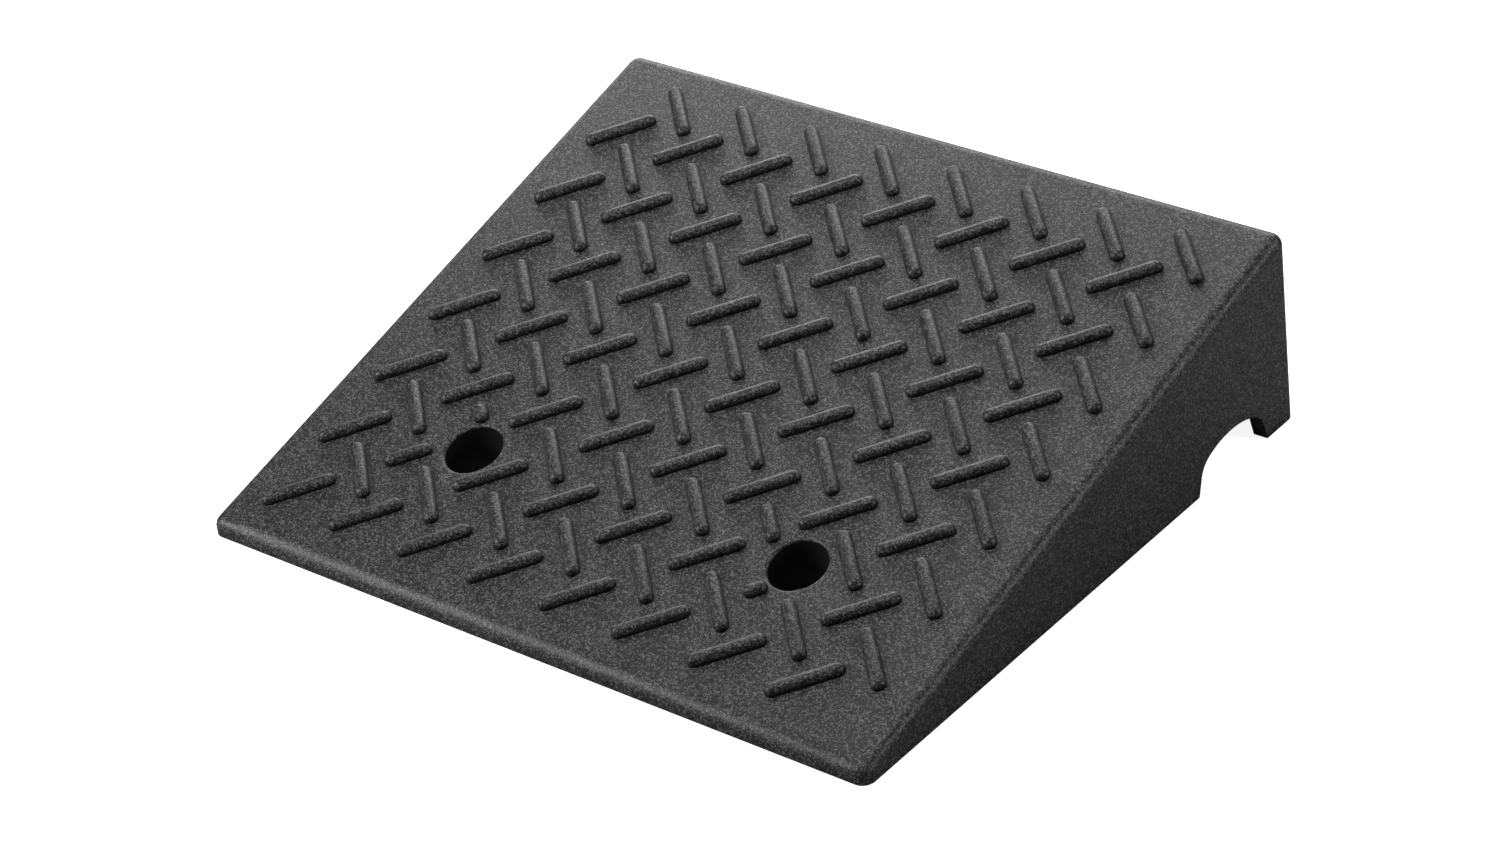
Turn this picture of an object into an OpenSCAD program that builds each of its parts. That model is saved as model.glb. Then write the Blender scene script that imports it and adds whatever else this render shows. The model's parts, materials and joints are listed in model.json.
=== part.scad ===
// Kerb wedge ramp for wheelchairs and other wheels, in black moulded rubber.
//
// The ramp lies flat on the ground with its tall rear face against a kerb. X runs along the kerb,
// Y from the thin nose (-Y) up to the kerb (+Y), and Z is up. The origin is on the ground, under
// the middle of the ramp. Lengths are in millimetres and angles in degrees.

/* [Ramp] */
// Width along the kerb
width = 500; // [400:10:900]
// Depth from the nose to the kerb face
depth = 428; // [400:2:600]
// Height of the deck's plane at the kerb face
rise = 129; // [110:1:180]
// Height of the deck's plane at the front of the nose
toe_height = 10.5; // [10:0.5:14]

/* [Moulding] */
// Thickness of the deck, square to its surface
deck_thickness = 12; // [10:0.5:16]
// Thickness of the side walls and the rear wall
wall = 10; // [10:0.5:14]
// Thickness of the ribs under the deck
rib = 8; // [5:0.5:10]
// Length of the solid nose on the ground
nose_length = 34; // [25:1:45]
// Radius of the four upright corners
corner_radius = 8; // [4:0.5:10]
// Radius of the deck's side and rear edges
edge_radius = 7; // [3:0.5:8]
// Radius of the front edge of the nose
nose_radius = 12; // [5:0.5:12]

/* [Tread] */
// Spacing of the bars, across the ramp and up the slope
tread_pitch = 55.6; // [52:0.2:70]
// Length of a whole bar over its round ends
bar_length = 47.5; // [36:0.5:48]
// Width of a bar
bar_width = 9.4; // [6:0.2:10]
// Height of a bar's upright side, below its round top
bar_side = 0.6; // [0.4:0.1:2]
// Distance from the ramp's left side to the first bar's middle
tread_left = 40.5; // [30:0.5:60]
// Distance from the nose to the first bar's middle, up the slope
tread_front = 41; // [38:0.5:60]

/* [Anchor holes] */
// Distance of each hole from the nearer side, as a share of the width
anchor_share = 0.252; // [0.24:0.002:0.26]
// Distance of the holes from the nose
anchor_from_nose = 107.5; // [100:0.5:120]
// Diameter of the recess for the bolt head and its socket
recess_diameter = 36; // [30:1:38]
// Diameter of the hole for the bolt
bolt_hole = 14; // [9:0.5:16]
// Thickness of the rubber under the washer
seat_thickness = 9; // [6:0.5:10]
// Diameter of the seat washer
washer_diameter = 34; // [26:1:36]
// Thickness of the seat washer
washer_thickness = 3; // [2:0.5:3]
// Diameter of the boss around each hole
boss_diameter = 52; // [46:1:56]

/* [Gutter arch] */
// Width of the arch on the ground
arch_width = 73; // [60:1:80]
// Height of the arch
arch_height = 27; // [22:1:32]
// Distance from the kerb face to the arch, on the ground
arch_from_kerb = 31; // [25:1:40]
// Lean of the arch's straight feet
arch_lean = 16; // [8:1:18]

/* [Hidden] */
$fn = 64;

rubber = "#2b2b2c";
zinc = "#b4b7ba";

front = -depth / 2;
kerb = depth / 2;
side = width / 2;
margin = 5;

// Slope of the deck, and the deck's length along it
slope = atan((rise - toe_height) / depth);
slope_length = depth / cos(slope);
deck_drop = deck_thickness / cos(slope);

// Ribs stand on the sixths of the width, and the cross ribs run between them
rib_spacing = width / 6;
nose_end = front + nose_length;
arch_middle = kerb - arch_from_kerb - arch_width / 2;
cross_front = front + anchor_from_nose;
cross_rear = arch_middle - arch_width / 2 - 2 * rib;
cross_middle = (cross_front + cross_rear) / 2;

// Anchor holes
anchor_x = side - anchor_share * width;
anchor_y = front + anchor_from_nose;

// Basket arch: a crown arc between two haunch arcs, each running into a leaning straight foot
crown_radius = 60;
haunch_radius = 16;
crown_drop = crown_radius - arch_height;
haunch_reach = crown_radius - haunch_radius;
haunch_angle = asin((arch_width / 2 * cos(arch_lean) - haunch_radius + crown_drop * sin(arch_lean))
    / haunch_reach) - arch_lean;
haunch_x = haunch_reach * sin(haunch_angle);
haunch_z = haunch_reach * cos(haunch_angle) - crown_drop;
arc_steps = 8;

// Rows and columns of tread bars that fit on the deck
bar_radius = bar_width / 2;
bar_half = bar_length / 2 - bar_radius;
bar_reach = bar_half * cos(45) + bar_radius;
edge_gap = 10;
tread_columns = floor((width - tread_left - tread_pitch / 2 - bar_reach - edge_gap) / tread_pitch) + 1;
tread_rows = floor((slope_length - tread_front - tread_pitch / 2 - bar_reach - edge_gap) / tread_pitch) + 1;

// A bar that would run into an anchor hole is moulded as a half bar or as a stub
half_bar = 0.38 * tread_pitch;
stub_bar = 0.1 * tread_pitch;
rim_gap = 1;

// Height of the deck's plane above the ground
function deck_z(y) = toe_height + (y - front) * tan(slope);

// Middle of an anchor hole on the deck: across the ramp, then up the slope from the nose
function anchor_on_deck(x) = [x, anchor_from_nose / cos(slope)];

// Where a point lies along a bar's own line, and how far off it
function along_bar(offset, angle) = offset.x * cos(angle) + offset.y * sin(angle);
function beside_bar(offset, angle) = offset.y * cos(angle) - offset.x * sin(angle);

// Gap between the middle of a hole and a bar of the given centre-line length. The bar keeps the
// end that lies away from the hole.
function gap_to_bar(offset, angle, length) =
    let(away = abs(along_bar(offset, angle)) + bar_half - length)
    norm([max(away, 0), beside_bar(offset, angle)]);
function bar_clears(offset, angle, length) =
    gap_to_bar(offset, angle, length)
        >= recess_diameter / 2 / cos(slope) + bar_radius + rim_gap;

// Centre-line length that a bar keeps beside a hole, or zero where it has no room
function kept_length(offset, angle) =
    bar_clears(offset, angle, 2 * bar_half) ? 2 * bar_half :
    bar_clears(offset, angle, half_bar) ? half_bar :
    bar_clears(offset, angle, stub_bar) ? stub_bar : 0;

// What a round corner takes off a sharp one. The arc's middle is at centre, and it runs between
// the two faces whose outward directions are given.
module round_off(centre, face_a, face_b, radius) {
    translate(centre)
    difference() {
        polygon(2 * radius * [[0, 0], face_a, face_a + face_b, face_b]);
        circle(radius);
    }
}

// Outline of the ramp on the ground, with round corners
module plan_outline() {
    inset = [side - corner_radius, kerb - corner_radius];
    difference() {
        square([width, depth], center = true);
        for (x = [-1, 1], y = [-1, 1])
            round_off([x * inset.x, y * inset.y], [x, 0], [0, y], corner_radius);
    }
}

// Turns a profile drawn in Y and Z into a bar across the given span of X
module across(from_x, to_x) {
    translate([from_x, 0, 0]) rotate([90, 0, 90]) linear_extrude(to_x - from_x) children();
}

// Frame of the deck: X across, Y up the slope from the nose, Z out of the deck
module on_deck() {
    translate([0, front, toe_height]) rotate([slope, 0, 0]) children();
}

// Middle of the arc that rounds the deck's edge at y, where the face below it is upright
function edge_arc(y, radius) = [y, deck_z(y) - radius / cos(slope)];

// Side view of the deck, with its round nose and round kerb edge
module deck_profile() {
    deck_face = [-sin(slope), cos(slope)];
    difference() {
        polygon([
            [front, 0], [front, toe_height], [kerb, rise], [kerb, rise - deck_drop],
            [nose_end, deck_z(nose_end) - deck_drop], [nose_end, 0]
        ]);
        round_off(edge_arc(front + nose_radius, nose_radius), [-1, 0], deck_face, nose_radius);
        round_off(edge_arc(kerb - edge_radius, edge_radius), [1, 0], deck_face, edge_radius);
    }
}

// Section across the deck, with its round side edges, seen along the slope
module deck_section() {
    difference() {
        translate([-side, -rise]) square([width, rise]);
        for (x = [-1, 1])
            round_off([x * (side - edge_radius), -edge_radius], [x, 0], [0, 1], edge_radius);
    }
}

// Side view of the space under the deck
module under_profile(from_y, to_y) {
    polygon([
        [from_y, 0], [from_y, deck_z(from_y) - deck_drop],
        [to_y, deck_z(to_y) - deck_drop], [to_y, 0]
    ]);
}

// Half of the arch, from its foot below the ground, round the haunch and on to the crown
function half_arch() = concat(
    [[arch_width / 2 + margin * tan(arch_lean), -margin]],
    [for (i = [0 : arc_steps])
        let(a = arch_lean + (90 - haunch_angle - arch_lean) * i / arc_steps)
        [haunch_x, haunch_z] + haunch_radius * [cos(a), sin(a)]],
    [for (i = [1 : arc_steps])
        let(a = 90 - haunch_angle * (1 - i / arc_steps))
        crown_radius * [cos(a), sin(a)] - [0, crown_drop]]);

// Side view of the gutter arch
module arch_profile() {
    half = half_arch();
    last = len(half) - 1;
    translate([arch_middle, 0])
        polygon(concat(half, [for (i = [1 : last]) [-half[last - i].x, half[last - i].y]]));
}

// Space for a bolt, its head and the socket that turns it
module anchor_bore(x) {
    translate([x, anchor_y, -margin]) cylinder(d = bolt_hole, h = seat_thickness + 2 * margin);
    translate([x, anchor_y, seat_thickness]) cylinder(d = recess_diameter, h = rise);
}

module deck_panel() {
    color(rubber)
    difference() {
        intersection() {
            linear_extrude(rise + margin) plan_outline();
            across(-side - margin, side + margin) deck_profile();
            on_deck() translate([0, slope_length + rise, 0]) rotate([90, 0, 0])
                linear_extrude(slope_length + 2 * rise) deck_section();
        }
        for (x = [-anchor_x, anchor_x]) anchor_bore(x);
    }
}

// One side wall, with the outer face on the given side of the ramp
module side_wall(s) {
    color(rubber)
    difference() {
        intersection() {
            linear_extrude(rise) plan_outline();
            across(s > 0 ? side - wall : -side, s > 0 ? side : wall - side)
                under_profile(nose_end, kerb);
        }
        across(-side - margin, side + margin) arch_profile();
    }
}

module side_wall_left() { side_wall(-1); }
module side_wall_right() { side_wall(1); }

module rear_wall() {
    color(rubber) across(wall - side, side - wall) under_profile(kerb - wall, kerb);
}

// One rib from the nose to the rear wall, with the gutter arch through it
module long_rib(x) {
    color(rubber)
    difference() {
        across(x - rib / 2, x + rib / 2) under_profile(nose_end, kerb - wall);
        across(x - rib, x + rib) arch_profile();
    }
}

module rib_far_left() { long_rib(-2 * rib_spacing); }
module rib_left() { long_rib(-rib_spacing); }
module rib_centre() { long_rib(0); }
module rib_right() { long_rib(rib_spacing); }
module rib_far_right() { long_rib(2 * rib_spacing); }

// The six lengths of one cross rib, each between two long ribs or a rib and a side wall
module cross_rib(y) {
    for (i = [-3 : 2]) {
        from_x = i == -3 ? wall - side : i * rib_spacing + rib / 2;
        to_x = i == 2 ? side - wall : (i + 1) * rib_spacing - rib / 2;
        across(from_x, to_x) under_profile(y - rib / 2, y + rib / 2);
    }
}

// The front cross rib meets the bosses and stops at them
module cross_rib_front() {
    color(rubber)
    difference() {
        cross_rib(cross_front);
        for (x = [-anchor_x, anchor_x])
            translate([x, anchor_y, -margin]) cylinder(d = boss_diameter, h = rise);
    }
}

module cross_rib_middle() { color(rubber) cross_rib(cross_middle); }
module cross_rib_rear() { color(rubber) cross_rib(cross_rear); }

// Round boss from the ground to the deck, with the seat for the washer inside
module anchor_boss(x) {
    color(rubber)
    difference() {
        intersection() {
            translate([x, anchor_y, 0]) cylinder(d = boss_diameter, h = rise);
            across(-side, side) under_profile(nose_end, kerb);
        }
        anchor_bore(x);
    }
}

module anchor_boss_left() { anchor_boss(-anchor_x); }
module anchor_boss_right() { anchor_boss(anchor_x); }

module anchor_washer(x) {
    color(zinc)
    translate([x, anchor_y, seat_thickness])
    difference() {
        cylinder(d = washer_diameter, h = washer_thickness);
        translate([0, 0, -margin]) cylinder(d = bolt_hole, h = washer_thickness + 2 * margin);
    }
}

module anchor_washer_left() { anchor_washer(-anchor_x); }
module anchor_washer_right() { anchor_washer(anchor_x); }

// Tread bar along X with a round top and round ends, from its left centre to its right centre
module tread_bar(from_x, to_x) {
    length = to_x - from_x;
    translate([from_x, 0, 0]) {
        linear_extrude(bar_side) {
            translate([0, -bar_radius]) square([length, bar_width]);
            for (x = [0, length]) translate([x, 0]) circle(bar_radius);
        }
        translate([0, 0, bar_side])
        intersection() {
            rotate([0, 90, 0]) rotate_extrude()
            intersection() {
                union() {
                    translate([-bar_radius, 0]) square([bar_width, length]);
                    for (y = [0, length]) translate([0, y]) circle(bar_radius);
                }
                translate([0, -bar_width]) square([bar_width, length + 2 * bar_width]);
            }
            translate([-bar_width, -bar_width, 0])
                cube([length + 2 * bar_width, 2 * bar_width, bar_width]);
        }
    }
}

// One bar of the pattern, cut back where it would run into an anchor hole
module pattern_bar(x, y, angle) {
    holes = [for (s = [-1, 1]) anchor_on_deck(s * anchor_x) - [x, y]];
    near = norm(holes[0]) < norm(holes[1]) ? holes[0] : holes[1];
    length = kept_length(near, angle);
    keeps_low_end = along_bar(near, angle) > 0;
    translate([x, y, 0]) rotate([0, 0, angle])
        if (length > 0)
            tread_bar(keeps_low_end ? -bar_half : bar_half - length,
                      keeps_low_end ? length - bar_half : bar_half);
}

// All the bars that lean one way; the second set sits in the gaps of the first
module tread_bars(angle, step) {
    color(rubber)
    on_deck()
    for (column = [0 : tread_columns - 1], row = [0 : tread_rows - 1])
        pattern_bar(tread_left - side + (column + step) * tread_pitch,
                    tread_front + (row + step) * tread_pitch, angle);
}

module tread_bars_rising() { tread_bars(45, 0); }
module tread_bars_falling() { tread_bars(-45, 0.5); }

deck_panel();
side_wall_left();
side_wall_right();
rear_wall();
rib_far_left();
rib_left();
rib_centre();
rib_right();
rib_far_right();
cross_rib_front();
cross_rib_middle();
cross_rib_rear();
anchor_boss_left();
anchor_boss_right();
anchor_washer_left();
anchor_washer_right();
tread_bars_rising();
tread_bars_falling();
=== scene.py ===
"""Kerb wedge ramp in black moulded rubber, built in Blender round its CAD frame.

Everything is in metres in the CAD's own frame: X along the kerb, Y from the thin nose up to the
kerb, Z up, and the origin on the ground under the middle of the ramp.
"""

import json
from math import asin, atan, cos, pi, radians, sin

import bmesh
import bpy
from mathutils import Matrix, Vector


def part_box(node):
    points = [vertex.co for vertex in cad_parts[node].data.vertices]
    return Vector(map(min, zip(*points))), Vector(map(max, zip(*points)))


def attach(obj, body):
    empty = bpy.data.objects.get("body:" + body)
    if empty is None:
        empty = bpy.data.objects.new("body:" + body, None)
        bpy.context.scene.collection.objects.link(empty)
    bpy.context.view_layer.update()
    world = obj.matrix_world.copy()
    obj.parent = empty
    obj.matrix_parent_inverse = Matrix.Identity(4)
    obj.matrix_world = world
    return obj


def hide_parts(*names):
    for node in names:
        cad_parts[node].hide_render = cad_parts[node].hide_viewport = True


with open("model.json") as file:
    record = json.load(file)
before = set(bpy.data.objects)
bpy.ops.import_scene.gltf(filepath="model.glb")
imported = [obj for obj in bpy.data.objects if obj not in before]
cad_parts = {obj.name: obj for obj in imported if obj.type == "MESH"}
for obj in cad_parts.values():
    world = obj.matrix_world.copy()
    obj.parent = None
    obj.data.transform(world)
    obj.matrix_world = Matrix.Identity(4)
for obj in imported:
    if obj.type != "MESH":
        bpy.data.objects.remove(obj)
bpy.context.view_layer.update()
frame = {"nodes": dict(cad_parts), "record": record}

MM = 0.001
UP = Vector((0, 0, 1))


# ---------------------------------------------------------------- sizes taken from the frame

deck_low, deck_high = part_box("deck_panel")
_, rear_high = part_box("rear_wall")
wall_low, wall_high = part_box("side_wall_left")
_, front_rib_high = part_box("cross_rib_front")
boss_low, boss_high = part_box("anchor_boss_right")
washer_low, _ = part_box("anchor_washer_right")
channel = next(
    hole["box_m"]
    for hole in frame["record"]["physics"]["openings"]
    if hole["name"] == "gutter_channel_high"
)
bolts = next(m for m in frame["record"]["mounts"] if m["name"] == "anchor_holes")

SIDE = deck_high.x
FRONT, KERB = deck_low.y, deck_high.y
WALL = wall_high.x - wall_low.x
NOSE_END = wall_low.y
RISE_PER_RUN = (rear_high.z - front_rib_high.z) / (rear_high.y - front_rib_high.y)
SLOPE = atan(RISE_PER_RUN)
DECK_THICKNESS = 12 * MM
DECK_DROP = DECK_THICKNESS / cos(SLOPE)
ANCHOR_X = (boss_low.x + boss_high.x) / 2
ANCHOR_Y = (boss_low.y + boss_high.y) / 2
BOSS_RADIUS = (boss_high.x - boss_low.x) / 2
RECESS_RADIUS = 18 * MM
BOLT_RADIUS = bolts["dims"]["hole_r_mm"] * MM
SEAT = washer_low.z
ARCH_MIDDLE = (channel[0][1] + channel[1][1]) / 2

# The rounding of the moulding's edges
CORNER_RADIUS = 8 * MM
EDGE_RADIUS = 7 * MM
NOSE_RADIUS = 12 * MM
RIM_RADIUS = 2.2 * MM


def ceiling_z(y):
    """Height of the deck's underside."""
    return rear_high.z + (y - KERB) * RISE_PER_RUN


def deck_z(y):
    """Height of the deck's top face."""
    return ceiling_z(y) + DECK_DROP


DECK_FACE = Vector((0, -sin(SLOPE), cos(SLOPE)))


# ---------------------------------------------------------------- camera

VIEW_AZIMUTH = radians(42.505)
VIEW_ELEVATION = radians(31.977)
VIEW_ROLL = radians(-7.354)
VIEW_DISTANCE = 2.523
VIEW_AIM = Vector((0.01615, -0.0135, 0.050))
LENS_MM, SENSOR_MM = 102.08, 36.0


def direction(azimuth, elevation):
    """From the ramp's middle outwards. Azimuth 0 is in front of the nose, and 90 is to the right."""
    return Vector(
        (sin(azimuth) * cos(elevation), -cos(azimuth) * cos(elevation), sin(elevation))
    )


def looking(place, aim, roll=0.0):
    """Matrix of something at a place that points its -Z at the aim."""
    turn = (aim - place).to_track_quat("-Z", "Y").to_matrix().to_4x4()
    return Matrix.Translation(place) @ turn @ Matrix.Rotation(roll, 4, "Z")


def make_camera():
    lens = bpy.data.cameras.new("camera")
    lens.lens, lens.sensor_width = LENS_MM, SENSOR_MM
    lens.clip_start, lens.clip_end = 0.1, 50.0
    camera = bpy.data.objects.new("camera", lens)
    bpy.context.scene.collection.objects.link(camera)
    place = VIEW_AIM + VIEW_DISTANCE * direction(VIEW_AZIMUTH, VIEW_ELEVATION)
    camera.matrix_world = looking(place, VIEW_AIM, VIEW_ROLL)
    bpy.context.scene.camera = camera


make_camera()


# ---------------------------------------------------------------- materials

# The mould's grain is about 0.5 mm across, drawn at 0.8 mm so that it shows
GRAIN_MM = 0.8
PEBBLE_MM = 1.3 * GRAIN_MM
FLOW_MM = 62.5

def colour(hex_value):
    """sRGB hex to the linear colour that a shader takes."""
    parts = [int(hex_value[i : i + 2], 16) / 255 for i in (1, 3, 5)]
    linear = [c / 12.92 if c <= 0.04045 else ((c + 0.055) / 1.055) ** 2.4 for c in parts]
    return (*linear, 1.0)


def add(tree, kind, links=None, **settings):
    """One node with its settings. A link is given as input name: (node, output name)."""
    node = tree.nodes.new(kind)
    inputs = settings.pop("inputs", {})
    for name, value in settings.items():
        setattr(node, name, value)
    for name, value in inputs.items():
        node.inputs[name].default_value = value
    for name, (source, output) in (links or {}).items():
        tree.links.new(source.outputs[output], node.inputs[name])
    return node


def new_material(name):
    material = bpy.data.materials.new(name)
    material.use_nodes = True
    material.node_tree.nodes.clear()
    return material, material.node_tree


def moulded_rubber(name, dark, light, grain_height_mm, shaded_foot_mm=0.0):
    """Black rubber, compression moulded in a spark-eroded steel mould.

    The mould leaves a fine pebbled grain over a soft sheen, and the carbon black in the rubber gives
    a neutral colour; its lighter specks are partly the grain's own tone and partly painted glints.
    The foot of a raised bar, where its side meets the deck, is painted near black over the given foot
    height: painted shade in the crease.
    """
    material, tree = new_material(name)
    place = add(tree, "ShaderNodeTexCoord")
    at = {"Vector": (place, "Object")}
    # Grain of the mould: most of it dark, with lighter specks between, which are partly the grain's
    # own tone and partly painted glints off the grain
    grains = add(tree, "ShaderNodeTexVoronoi", at, inputs={"Scale": 1000 / GRAIN_MM})
    chance = add(tree, "ShaderNodeSeparateColor", {"Color": (grains, "Color")})
    speck_and_glint = add(
        tree, "ShaderNodeMapRange", {"Value": (chance, "Red")},
        inputs={"From Min": 0.55, "From Max": 1.0, "To Min": 0.0, "To Max": 1.0},
    )
    # Slow change in the skin where the rubber flowed in the mould
    flow = add(
        tree, "ShaderNodeTexNoise", at,
        inputs={"Scale": 1000 / FLOW_MM, "Detail": 3.0, "Roughness": 0.5},
    )
    shade = add(
        tree, "ShaderNodeMix", {"Factor": (speck_and_glint, "Result")},
        data_type="RGBA",
        inputs={"A": colour(dark), "B": colour(light)},
    )
    # Painted shade: near black on the bars' sides up to the given foot height above the deck,
    # standing in for the shadow in the crease where a bar meets the deck
    if shaded_foot_mm > 0:
        height = add(
            tree, "ShaderNodeVectorMath", {0: (place, "Object")},
            operation="DOT_PRODUCT", inputs={1: DECK_FACE},
        )
        # How far the deck's plane lies from the origin, square to itself
        deck = DECK_FACE.z * deck_z(0)
        clear = add(
            tree, "ShaderNodeMapRange", {"Value": (height, "Value")},
            inputs={"From Min": deck + 0.3 * shaded_foot_mm * MM, "From Max": deck + shaded_foot_mm * MM},
        )
        shade = add(
            tree, "ShaderNodeMix", {"Factor": (clear, "Result"), "B": (shade, "Result")},
            data_type="RGBA", inputs={"A": colour("#030303")},
        )
    rough = add(
        tree, "ShaderNodeMapRange", {"Value": (flow, "Fac")},
        inputs={"From Min": 0.3, "From Max": 0.7, "To Min": 0.42, "To Max": 0.48},
    )
    # Pebbles of the skin between the grains
    pebbles = add(
        tree, "ShaderNodeTexNoise", at,
        inputs={"Scale": 1000 / PEBBLE_MM, "Detail": 2.0, "Roughness": 0.6},
    )
    bump = add(
        tree, "ShaderNodeBump", {"Height": (pebbles, "Fac")},
        inputs={"Strength": 1.0, "Distance": grain_height_mm * MM},
    )
    skin = add(
        tree, "ShaderNodeBsdfPrincipled",
        {
            "Base Color": (shade, "Result"),
            "Roughness": (rough, "Result"),
            "Normal": (bump, "Normal"),
        },
        inputs={"IOR": 1.5, "Specular IOR Level": 0.4},
    )
    add(tree, "ShaderNodeOutputMaterial", {"Surface": (skin, "BSDF")})
    return material


def zinc_plated_steel():
    """Mild steel washers, stamped and zinc plated.

    The plating is a bright blue-grey metal with a soft, slightly cloudy sheen.
    """
    material, tree = new_material("zinc_plated_steel")
    place = add(tree, "ShaderNodeTexCoord")
    at = {"Vector": (place, "Object")}
    # Clouds in the plating, about 4 mm across
    clouds = add(
        tree, "ShaderNodeTexNoise", at,
        inputs={"Scale": 250.0, "Detail": 4.0, "Roughness": 0.6},
    )
    shade = add(
        tree, "ShaderNodeMix", {"Factor": (clouds, "Fac")},
        data_type="RGBA",
        inputs={"A": colour("#8f9499"), "B": colour("#c3c6c8")},
    )
    rough = add(
        tree, "ShaderNodeMapRange", {"Value": (clouds, "Fac")},
        inputs={"From Min": 0.3, "From Max": 0.7, "To Min": 0.28, "To Max": 0.45},
    )
    # Fine roll marks of the sheet the washers were stamped from, about 0.2 mm apart
    marks = add(
        tree, "ShaderNodeTexNoise", at,
        inputs={"Scale": 5000.0, "Detail": 1.0},
    )
    bump = add(
        tree, "ShaderNodeBump", {"Height": (marks, "Fac")},
        inputs={"Strength": 0.3, "Distance": 0.02 * MM},
    )
    plate = add(
        tree, "ShaderNodeBsdfPrincipled",
        {
            "Base Color": (shade, "Result"),
            "Roughness": (rough, "Result"),
            "Normal": (bump, "Normal"),
        },
        inputs={"Metallic": 1.0},
    )
    add(tree, "ShaderNodeOutputMaterial", {"Surface": (plate, "BSDF")})
    return material


def smooth_rubber():
    """The same black rubber where a turned core pin moulds it, in the bores.

    A turned pin leaves a smooth skin with a soft shine and fine rings from the lathe; its darker
    colour is painted shade down the recess.
    """
    material, tree = new_material("smooth_black_rubber_painted_shade")
    place = add(tree, "ShaderNodeTexCoord")
    at = {"Vector": (place, "Object")}
    # Rings left by the tool, about 0.8 mm apart up the bore
    stretched = add(tree, "ShaderNodeMapping", at, inputs={"Scale": (20.0, 20.0, 1250.0)})
    rings = add(
        tree, "ShaderNodeTexNoise", {"Vector": (stretched, "Vector")},
        inputs={"Scale": 1.0, "Detail": 2.0},
    )
    rough = add(
        tree, "ShaderNodeMapRange", {"Value": (rings, "Fac")},
        inputs={"From Min": 0.3, "From Max": 0.7, "To Min": 0.5, "To Max": 0.6},
    )
    # Painted shade: the bore's colour runs near black, darker than the deck's rubber, for the shade
    # down the recess
    shade = add(
        tree, "ShaderNodeMix", {"Factor": (rings, "Fac")},
        data_type="RGBA",
        inputs={"A": colour("#040404"), "B": colour("#0b0b0b")},
    )
    bump = add(
        tree, "ShaderNodeBump", {"Height": (rings, "Fac")},
        inputs={"Strength": 0.5, "Distance": 0.05 * MM},
    )
    skin = add(
        tree, "ShaderNodeBsdfPrincipled",
        {
            "Base Color": (shade, "Result"),
            "Roughness": (rough, "Result"),
            "Normal": (bump, "Normal"),
        },
        inputs={"IOR": 1.5, "Specular IOR Level": 0.3},
    )
    add(tree, "ShaderNodeOutputMaterial", {"Surface": (skin, "BSDF")})
    return material


BORE_RUBBER_PAINTED_SHADE = smooth_rubber()
RUBBER = moulded_rubber("moulded_black_rubber", "#151515", "#676769", 0.25)
# The bars take a slightly darker copy of the deck's rubber as painted shade, and painted shade at the
# foot of each bar
TREAD_RUBBER_PAINTED_SHADE = moulded_rubber("moulded_black_rubber_tread_painted_shade", "#131313", "#646466", 0.2, 3.2)
ZINC = zinc_plated_steel()


# ---------------------------------------------------------------- helpers for the meshes

# How strongly a large flat face sets the shading at its corners, out of 100
FLATS_WEIGHT = 90


def piece_from(name, bm, *materials):
    """Finished piece at the origin, with smooth faces and flats that stay flat."""
    bmesh.ops.recalc_face_normals(bm, faces=bm.faces)
    mesh = bpy.data.meshes.new(name)
    bm.to_mesh(mesh)
    bm.free()
    mesh.polygons.foreach_set("use_smooth", [True] * len(mesh.polygons))
    for material in materials:
        mesh.materials.append(material)
    rough = bpy.data.objects.new(name + "_rough", mesh)
    bpy.context.scene.collection.objects.link(rough)
    flats = rough.modifiers.new("flats", "WEIGHTED_NORMAL")
    flats.mode, flats.weight = "FACE_AREA", FLATS_WEIGHT
    return plain_mesh(rough, name)


def plain_mesh(made, name):
    """The made object's result as a plain mesh object without modifiers."""
    bpy.context.view_layer.update()
    graph = bpy.context.evaluated_depsgraph_get()
    mesh = bpy.data.meshes.new_from_object(made.evaluated_get(graph), depsgraph=graph)
    mesh.name = name
    bpy.data.objects.remove(made)
    piece = bpy.data.objects.new(name, mesh)
    bpy.context.scene.collection.objects.link(piece)
    return piece


def smooth(t):
    t = min(max(t, 0.0), 1.0)
    return t * t * (3 - 2 * t)


def mix(a, b, t):
    return a + (b - a) * t


def skin_between(bm, lower, upper, closed=True):
    """Strip of quads between two rows of vertices of the same count."""
    count = len(lower)
    for i in range(count if closed else count - 1):
        j = (i + 1) % count
        bm.faces.new((lower[i], lower[j], upper[j], upper[i]))


def row(bm, points):
    return [bm.verts.new(p) for p in points]


# ---------------------------------------------------------------- gutter arch

ARCH_WIDTH = 73 * MM
ARCH_HEIGHT = 27 * MM
ARCH_LEAN = radians(16)
CROWN_RADIUS = 60 * MM
HAUNCH_RADIUS = 16 * MM
ARCH_STEPS = 10


def arch_outline():
    """The arch from its rear foot over the crown to its front foot, as (y, z)."""
    steps = ARCH_STEPS
    drop = CROWN_RADIUS - ARCH_HEIGHT
    reach = CROWN_RADIUS - HAUNCH_RADIUS
    foot = ARCH_WIDTH / 2
    spread = foot * cos(ARCH_LEAN) - HAUNCH_RADIUS + drop * sin(ARCH_LEAN)
    turn = asin(spread / reach) - ARCH_LEAN
    haunch = (reach * sin(turn), reach * cos(turn) - drop)
    half = [(foot, 0.0)]
    for i in range(steps + 1):
        a = mix(ARCH_LEAN, pi / 2 - turn, i / steps)
        half.append((haunch[0] + HAUNCH_RADIUS * cos(a), haunch[1] + HAUNCH_RADIUS * sin(a)))
    for i in range(1, steps + 1):
        a = mix(pi / 2 - turn, pi / 2, i / steps)
        half.append((CROWN_RADIUS * cos(a), CROWN_RADIUS * sin(a) - drop))
    whole = half + [(-y, z) for y, z in reversed(half[:-1])]
    return [(ARCH_MIDDLE + y, z) for y, z in whole]


# ---------------------------------------------------------------- the moulding

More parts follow.
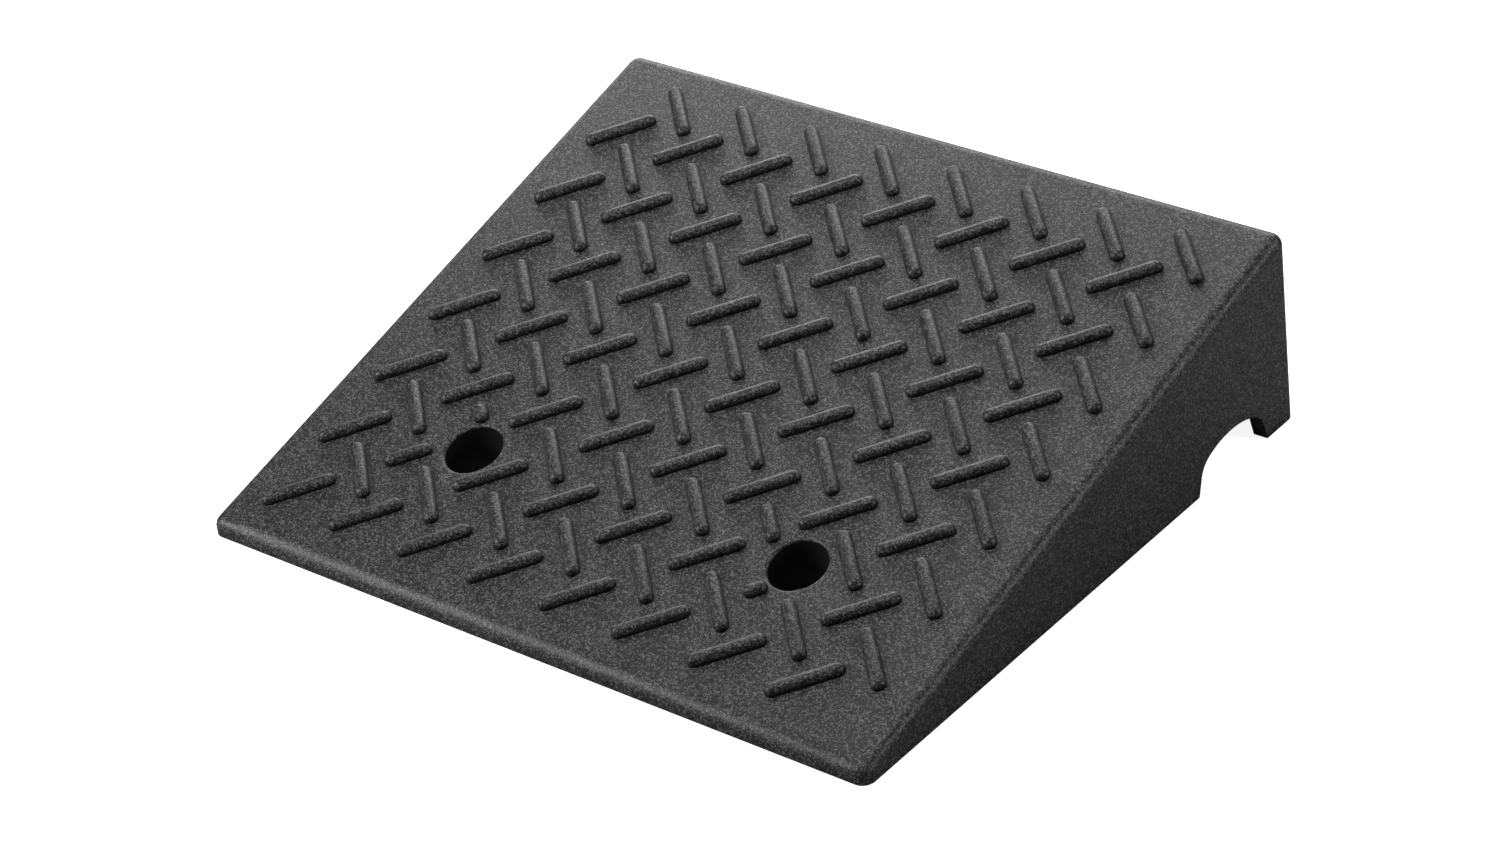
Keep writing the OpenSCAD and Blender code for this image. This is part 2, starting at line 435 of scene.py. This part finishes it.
CORNER_STEPS = 10
EDGE_STEPS = 8
EDGE_SUPPORT = 0.7 * MM
NOSE_FADE = 22 * MM
NOSE_FADE_STEPS = 8
CAVITY_CORNER = 4 * MM
CAVITY_STEPS = 4
HOLE_STEPS = 64
RIM_STEPS = 6
RIM_SUPPORT = 2 * MM
BREAK_EDGE = 0.9 * MM
BREAK_SEGMENTS = 3
SHARP = radians(40)
BORE_MARGIN = 0.1 * MM


def rounded_outline(low, high, radius, steps):
    """Places and outward directions round a rounded rectangle, anticlockwise from above."""
    places = []
    for sx, sy, start in ((1, -1, -90), (1, 1, 0), (-1, 1, 90), (-1, -1, 180)):
        centre = Vector(
            (
                (high.x if sx > 0 else low.x) - sx * radius,
                (high.y if sy > 0 else low.y) - sy * radius,
                0,
            )
        )
        for i in range(steps + 1):
            a = radians(start + 90 * i / steps)
            out = Vector((cos(a), sin(a), 0))
            places.append((centre + radius * out, out))
    return places


def with_nose_fade(outline):
    """Adds places along the front edge, where the nose's wide rounding runs out to the corners."""
    first, last = outline[0][0], outline[-1][0]
    ahead = outline[0][1]
    steps = range(1, NOSE_FADE_STEPS + 1)
    right = [(first - Vector((NOSE_FADE * i / NOSE_FADE_STEPS, 0, 0)), ahead) for i in steps]
    left = [(last + Vector((NOSE_FADE * i / NOSE_FADE_STEPS, 0, 0)), ahead) for i in steps]
    return outline + left + right[::-1]


def edge_section(place, out):
    """Rounding from the top of the wall to the deck, and one point further in on the flat."""
    lead = smooth(-out.y)
    from_corner = SIDE - CORNER_RADIUS - abs(place.x)
    nose = smooth(from_corner / NOSE_FADE)
    radius = mix(EDGE_RADIUS, NOSE_RADIUS, nose * lead)
    centre = place - radius * out
    touch = centre + radius * DECK_FACE
    centre.z = deck_z(touch.y) - radius * DECK_FACE.z
    points = [
        centre + radius * out.slerp(DECK_FACE, i / EDGE_STEPS) for i in range(EDGE_STEPS + 1)
    ]
    flat = points[-1] - EDGE_SUPPORT * out
    flat.z = deck_z(flat.y)
    return points + [flat]


def rim_section(centre, out):
    """Rounding from the wall of an anchor hole up to the deck."""
    ball = centre + (RECESS_RADIUS + RIM_RADIUS) * out
    ball.z = deck_z(ball.y) - RIM_RADIUS / cos(SLOPE)
    points = [
        ball + RIM_RADIUS * (-out).slerp(DECK_FACE, i / RIM_STEPS) for i in range(RIM_STEPS + 1)
    ]
    flat = points[-1] + RIM_SUPPORT * out
    flat.z = deck_z(flat.y)
    return points + [flat]


def anchor_hole(bm, x):
    """Recess, seat, bolt hole and outer boss. Returns the loops on the deck and on the ceiling."""
    centre = Vector((x, ANCHOR_Y, 0))
    turns = [2 * pi * i / HOLE_STEPS for i in range(HOLE_STEPS)]
    outs = [Vector((cos(a), sin(a), 0)) for a in turns]
    sections = [rim_section(centre, out) for out in outs]
    boss = [centre + BOSS_RADIUS * o for o in outs]
    rows = [
        row(bm, [place + ceiling_z(place.y) * UP for place in boss]),
        row(bm, boss),
        row(bm, [centre + BOLT_RADIUS * o for o in outs]),
        row(bm, [centre + BOLT_RADIUS * o + SEAT * UP for o in outs]),
        row(bm, [centre + RECESS_RADIUS * o + SEAT * UP for o in outs]),
    ]
    for k in range(len(sections[0])):
        rows.append(row(bm, [s[k] for s in sections]))
    for lower, upper in zip(rows, rows[1:]):
        skin_between(bm, lower, upper)
    return rows[0], rows[-1]


def fill(bm, loops):
    """Flat face with holes, from closed loops of vertices."""
    edges = []
    for loop in loops:
        for a, b in zip(loop, loop[1:] + loop[:1]):
            edges.append(bm.edges.get((a, b)) or bm.edges.new((a, b)))
    bmesh.ops.triangle_fill(bm, use_beauty=True, use_dissolve=False, edges=edges)


def make_moulding():
    """The ramp's skin in one closed mesh: deck, nose, walls, ceiling and anchor bosses."""
    bm = bmesh.new()
    outline = with_nose_fade(rounded_outline(deck_low, deck_high, CORNER_RADIUS, CORNER_STEPS))
    sections = [edge_section(place, out) for place, out in outline]
    foot = row(bm, [place for place, _ in outline])
    edge_rows = [row(bm, [s[k] for s in sections]) for k in range(EDGE_STEPS + 2)]
    for lower, upper in zip(edge_rows, edge_rows[1:]):
        skin_between(bm, lower, upper)

    low = Vector((-SIDE + WALL, NOSE_END, 0))
    high = Vector((SIDE - WALL, KERB - WALL, 0))
    cavity = rounded_outline(low, high, CAVITY_CORNER, CAVITY_STEPS)
    inner_foot = row(bm, [place for place, _ in cavity])
    inner_top = row(bm, [place + ceiling_z(place.y) * UP for place, _ in cavity])

    # Walls with the arch through them. The outline and the cavity both run from the front right
    # corner anticlockwise, so the right wall follows the first corner and the left the third.
    arch = arch_outline()
    corner, inner = CORNER_STEPS + 1, CAVITY_STEPS + 1
    tunnels = []
    for sign, outer_at, inner_at in ((1, corner - 1, inner - 1), (-1, 3 * corner - 1, 3 * inner - 1)):
        ends = []
        for x, feet, tops, at in (
            (sign * SIDE, foot, edge_rows[0], outer_at),
            (sign * (SIDE - WALL), inner_foot, inner_top, inner_at),
        ):
            notch = row(bm, [(x, y, z) for y, z in arch])
            first, second = at, at + 1
            order = notch if sign < 0 else notch[::-1]
            bm.faces.new([feet[first], *order, feet[second], tops[second], tops[first]])
            ends.append(notch)
        skin_between(bm, ends[0], ends[1], closed=False)
        tunnels.append(ends)

    # The rest of the walls
    for feet, tops, gaps in (
        (foot, edge_rows[0], (corner - 1, 3 * corner - 1)),
        (inner_foot, inner_top, (inner - 1, 3 * inner - 1)),
    ):
        for i in range(len(feet)):
            if i not in gaps:
                j = (i + 1) % len(feet)
                bm.faces.new((feet[i], feet[j], tops[j], tops[i]))

    # Undersides on the ground, one in front of the arches and one behind them
    (right_out, right_in), (left_out, left_in) = tunnels
    bm.faces.new(
        [*foot[3 * corner :], *foot[:corner], right_out[-1], right_in[-1]]
        + [*inner_foot[:inner][::-1], *inner_foot[3 * inner :][::-1], left_in[-1], left_out[-1]]
    )
    bm.faces.new(
        [*foot[corner : 3 * corner], left_out[0], left_in[0]]
        + [*inner_foot[inner : 3 * inner][::-1], right_in[0], right_out[0]]
    )

    boss_loops, deck_loops = zip(*(anchor_hole(bm, x) for x in (-ANCHOR_X, ANCHOR_X)))
    fill(bm, [edge_rows[-1], *deck_loops])
    fill(bm, [inner_top, *boss_loops])

    bmesh.ops.recalc_face_normals(bm, faces=bm.faces)
    sharp = [e for e in bm.edges if len(e.link_faces) == 2 and e.calc_face_angle(0) > SHARP]
    bmesh.ops.bevel(
        bm, geom=sharp, offset=BREAK_EDGE, segments=BREAK_SEGMENTS, profile=0.5,
        affect="EDGES", clamp_overlap=True,
    )
    # Faces within the recess radius take the darker bore rubber: painted shade down the anchor
    # recesses
    for face in bm.faces:
        middle = face.calc_center_median()
        for x in (-ANCHOR_X, ANCHOR_X):
            if (middle.xy - Vector((x, ANCHOR_Y))).length < RECESS_RADIUS + BORE_MARGIN:
                face.material_index = 1
    return piece_from("ramp_moulding", bm, RUBBER, BORE_RUBBER_PAINTED_SHADE)


moulding = make_moulding()
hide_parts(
    "deck_panel", "side_wall_left", "side_wall_right", "rear_wall",
    "anchor_boss_left", "anchor_boss_right",
)
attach(moulding, "root")


# ---------------------------------------------------------------- tread bars

# The same sizes as the CAD bars have
TREAD_PITCH = 55.6 * MM
BAR_LENGTH = 47.5 * MM
BAR_RADIUS = 4.7 * MM
BAR_SIDE = 0.6 * MM
BAR_SUNK = 0.6 * MM
BAR_END_STEPS = 8
BAR_TOP_ANGLES = (18, 36, 54, 72)
TREAD_LEFT = 40.5 * MM
TREAD_FRONT = 41 * MM
COLUMNS, ROWS = 8, 7
HALF_BAR = 0.38 * TREAD_PITCH
STUB_BAR = 0.1 * TREAD_PITCH
RIM_GAP = 1 * MM


def bar_mesh():
    """Round-topped bar along X at its full length. Its "end" attribute tells the two ends apart."""
    bm = bmesh.new()
    end = bm.verts.layers.float.new("end")
    reach = BAR_LENGTH / 2 - BAR_RADIUS
    steps = BAR_END_STEPS
    turns = [radians(-90 + 180 * i / steps) for i in range(steps + 1)]
    outs = [Vector((cos(a), sin(a), 0)) for a in turns]
    ring = [(reach, o) for o in outs] + [(-reach, -o) for o in outs]
    levels = [(BAR_RADIUS, -BAR_SUNK), (BAR_RADIUS, BAR_SIDE)]
    levels += [
        (BAR_RADIUS * cos(a), BAR_SIDE + BAR_RADIUS * sin(a)) for a in map(radians, BAR_TOP_ANGLES)
    ]
    rows = []
    for radius, z in levels:
        rows.append(row(bm, [Vector((x, 0, z)) + radius * o for x, o in ring]))
    for lower, upper in zip(rows, rows[1:]):
        skin_between(bm, lower, upper)
    bm.faces.new(rows[0][::-1])
    top = BAR_SIDE + BAR_RADIUS
    right, left = row(bm, [(reach, 0, top), (-reach, 0, top)])
    last = rows[-1]
    half = steps + 1
    for i in range(steps):
        bm.faces.new((last[i], last[i + 1], right))
        bm.faces.new((last[half + i], last[half + i + 1], left))
    bm.faces.new((last[steps], last[half], left, right))
    bm.faces.new((last[-1], last[0], right, left))
    for v in bm.verts:
        v[end] = 1.0 if v.co.x > 0 else -1.0
    bmesh.ops.recalc_face_normals(bm, faces=bm.faces)
    mesh = bpy.data.meshes.new("tread_bar")
    bm.to_mesh(mesh)
    bm.free()
    mesh.polygons.foreach_set("use_smooth", [True] * len(mesh.polygons))
    return mesh


def kept_length(offset, turn):
    """Centre-line length that a bar keeps beside a hole, or zero where it has no room."""
    along = abs(offset.x * cos(turn) + offset.y * sin(turn))
    beside = offset.y * cos(turn) - offset.x * sin(turn)
    whole = BAR_LENGTH - 2 * BAR_RADIUS
    room = RECESS_RADIUS / cos(SLOPE) + BAR_RADIUS + RIM_GAP
    for length in (whole, HALF_BAR, STUB_BAR):
        away = max(along + whole / 2 - length, 0.0)
        if Vector((away, beside)).length >= room:
            return length
    return 0.0


def bar_places(turn, step):
    """Middle of each bar on the deck, and what its low end and its high end are cut back by."""
    whole = BAR_LENGTH - 2 * BAR_RADIUS
    places = []
    for column in range(COLUMNS):
        for line in range(ROWS):
            middle = Vector(
                (
                    TREAD_LEFT - SIDE + (column + step) * TREAD_PITCH,
                    TREAD_FRONT + (line + step) * TREAD_PITCH,
                )
            )
            holes = [
                Vector((x, (ANCHOR_Y - FRONT) / cos(SLOPE))) - middle
                for x in (-ANCHOR_X, ANCHOR_X)
            ]
            near = min(holes, key=lambda hole: hole.length)
            length = kept_length(near, turn)
            if length > 0:
                cut = whole - length
                hole_ahead = near.x * cos(turn) + near.y * sin(turn) > 0
                places.append((middle, 0.0 if hole_ahead else cut, cut if hole_ahead else 0.0))
    return places


def tread_tree():
    """Sets a bar on each point, cuts back its ends and lays the pattern on the deck."""
    tree = bpy.data.node_groups.new("tread_pattern", "GeometryNodeTree")
    face = tree.interface
    face.new_socket("Points", in_out="INPUT", socket_type="NodeSocketGeometry")
    face.new_socket("Bar", in_out="INPUT", socket_type="NodeSocketObject")
    face.new_socket("Turn", in_out="INPUT", socket_type="NodeSocketFloat")
    face.new_socket("Slope", in_out="INPUT", socket_type="NodeSocketFloat")
    face.new_socket("Nose", in_out="INPUT", socket_type="NodeSocketVector")
    face.new_socket("Rubber", in_out="INPUT", socket_type="NodeSocketMaterial")
    face.new_socket("Bars", in_out="OUTPUT", socket_type="NodeSocketGeometry")
    given = add(tree, "NodeGroupInput")
    turned = add(tree, "ShaderNodeCombineXYZ", {"Z": (given, "Turn")})
    tilted = add(tree, "ShaderNodeCombineXYZ", {"X": (given, "Slope")})
    bar = add(tree, "GeometryNodeObjectInfo", {"Object": (given, "Bar")})
    placed = add(
        tree, "GeometryNodeInstanceOnPoints",
        {
            "Points": (given, "Points"),
            "Instance": (bar, "Geometry"),
            "Rotation": (turned, "Vector"),
        },
    )
    real = add(tree, "GeometryNodeRealizeInstances", {"Geometry": (placed, "Instances")})
    end, cut_low, cut_high = (
        add(tree, "GeometryNodeInputNamedAttribute", data_type="FLOAT", inputs={"Name": name})
        for name in ("end", "cut_low", "cut_high")
    )
    high_end = add(
        tree, "FunctionNodeCompare", {"A": (end, "Attribute")},
        data_type="FLOAT", operation="GREATER_THAN", inputs={"B": 0.0},
    )
    back = add(
        tree, "ShaderNodeMath", {0: (cut_high, "Attribute")},
        operation="MULTIPLY", inputs={1: -1.0},
    )
    shift = add(
        tree, "GeometryNodeSwitch",
        {"Switch": (high_end, "Result"), "False": (cut_low, "Attribute"), "True": (back, "Value")},
        input_type="FLOAT",
    )
    along = add(tree, "ShaderNodeCombineXYZ", {"X": (shift, "Output")})
    move = add(
        tree, "ShaderNodeVectorRotate", {"Vector": (along, "Vector"), "Angle": (given, "Turn")},
        rotation_type="Z_AXIS",
    )
    cut = add(
        tree, "GeometryNodeSetPosition", {"Geometry": (real, "Geometry"), "Offset": (move, "Vector")}
    )
    laid = add(
        tree, "GeometryNodeTransform",
        {
            "Geometry": (cut, "Geometry"),
            "Translation": (given, "Nose"),
            "Rotation": (tilted, "Vector"),
        },
    )
    painted = add(
        tree, "GeometryNodeSetMaterial",
        {"Geometry": (laid, "Geometry"), "Material": (given, "Rubber")},
    )
    add(tree, "NodeGroupOutput", {"Bars": (painted, "Geometry")})
    return tree


def with_inputs(made, tree, values):
    """Gives an object the tree and its inputs, before it is first evaluated."""
    modifier = made.modifiers.new(tree.name, "NODES")
    modifier.node_group = tree
    for item in tree.interface.items_tree:
        if item.in_out == "INPUT" and item.name in values:
            modifier[item.identifier] = values[item.name]
    bpy.context.scene.collection.objects.link(made)


def make_tread(name, turn, step, tree, bar):
    places = bar_places(turn, step)
    mesh = bpy.data.meshes.new(name + "_places")
    mesh.from_pydata([(p.x, p.y, 0.0) for p, _, _ in places], [], [])
    for k, attribute in ((1, "cut_low"), (2, "cut_high")):
        layer = mesh.attributes.new(attribute, "FLOAT", "POINT")
        layer.data.foreach_set("value", [p[k] for p in places])
    made = bpy.data.objects.new(name + "_made", mesh)
    with_inputs(
        made, tree,
        {
            "Bar": bar,
            "Turn": turn,
            "Slope": SLOPE,
            "Nose": (0.0, FRONT, deck_z(FRONT)),
            "Rubber": TREAD_RUBBER_PAINTED_SHADE,
        },
    )
    return plain_mesh(made, name)


bar_pattern = bpy.data.objects.new("bar_pattern", bar_mesh())
tread_pattern = tread_tree()
for name, node, turn, step in (
    ("rising_bars", "tread_bars_rising", radians(45), 0.0),
    ("falling_bars", "tread_bars_falling", radians(-45), 0.5),
):
    bars = make_tread(name, turn, step, tread_pattern, bar_pattern)
    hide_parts(node)
    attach(bars, "root")
bpy.data.objects.remove(bar_pattern)


# ---------------------------------------------------------------- CAD nodes that stay

for node in ("rib_far_left", "rib_left", "rib_centre", "rib_right", "rib_far_right",
             "cross_rib_front", "cross_rib_middle", "cross_rib_rear"):
    for place in frame["nodes"][node].material_slots:
        place.material = RUBBER
for node in ("anchor_washer_left", "anchor_washer_right"):
    for place in frame["nodes"][node].material_slots:
        place.material = ZINC


# ---------------------------------------------------------------- floor, lights and surroundings

FLOOR_HALF = 6.0
FLOOR_DROP = 0.2 * MM
FLOOR_GLOW = 0.9
WORLD_FILL = 0.03
LIGHTS_AIM = Vector((0, 0.1, 0.08))

def make_floor():
    """Plain pale floor, white to the camera, with a faint shadow at the foot of the ramp."""
    material, tree = new_material("pale_floor")
    ray = add(tree, "ShaderNodeLightPath")
    seen = add(tree, "ShaderNodeBsdfDiffuse", inputs={"Color": (1.0, 1.0, 1.0, 1.0)})
    glow = add(tree, "ShaderNodeEmission", inputs={"Strength": FLOOR_GLOW})
    both = add(tree, "ShaderNodeAddShader", {0: (seen, "BSDF"), 1: (glow, "Emission")})
    dull = add(tree, "ShaderNodeBsdfDiffuse", inputs={"Color": colour("#9a9a9a")})
    out = add(
        tree, "ShaderNodeMixShader",
        {0: (ray, "Is Camera Ray"), 1: (dull, "BSDF"), 2: (both, "Shader")},
    )
    add(tree, "ShaderNodeOutputMaterial", {"Surface": (out, "Shader")})
    half = FLOOR_HALF
    mesh = bpy.data.meshes.new("floor")
    mesh.from_pydata(
        [(-half, -half, 0), (half, -half, 0), (half, half, 0), (-half, half, 0)], [], [(0, 1, 2, 3)]
    )
    mesh.materials.append(material)
    floor = bpy.data.objects.new("floor", mesh)
    bpy.context.scene.collection.objects.link(floor)
    floor.location.z = -FLOOR_DROP


def softbox(name, azimuth, elevation, distance, width, height, power):
    """Soft light at a direction in degrees and a distance in metres, with its power in watts."""
    light = bpy.data.lights.new(name, "AREA")
    light.shape, light.size, light.size_y, light.energy = "RECTANGLE", width, height, power
    lamp = bpy.data.objects.new(name, light)
    bpy.context.scene.collection.objects.link(lamp)
    place = LIGHTS_AIM + distance * direction(radians(azimuth), radians(elevation))
    lamp.matrix_world = looking(place, LIGHTS_AIM)


def make_surroundings():
    world = bpy.data.worlds.new("studio")
    bpy.context.scene.world = world
    world.use_nodes = True
    tree = world.node_tree
    tree.nodes.clear()
    ray = add(tree, "ShaderNodeLightPath")
    seen = add(tree, "ShaderNodeBackground", inputs={"Color": (1, 1, 1, 1), "Strength": 1.0})
    fill_light = add(
        tree, "ShaderNodeBackground", inputs={"Color": (1, 1, 1, 1), "Strength": WORLD_FILL}
    )
    out = add(
        tree, "ShaderNodeMixShader",
        {0: (ray, "Is Camera Ray"), 1: (fill_light, "Background"), 2: (seen, "Background")},
    )
    add(tree, "ShaderNodeOutputWorld", {"Surface": (out, "Shader")})
    settings = bpy.context.scene.view_settings
    settings.view_transform, settings.look = "Standard", "None"
    settings.exposure, settings.gamma = 0.0, 1.0


make_floor()
make_surroundings()
softbox("key", -115, 52, 1.5, 0.6, 0.6, 2.4)
softbox("overhead", 10, 75, 1.5, 0.6, 0.6, 8.5)
softbox("low_left", -130, 20, 1.5, 0.8, 0.4, 8.5)
softbox("rear", -165, 35, 1.5, 0.8, 0.7, 11)
softbox("front_left", -41, 24, 1.6, 0.6, 0.35, 16)
softbox("right", 108, 24, 1.7, 0.4, 0.4, 8.5)
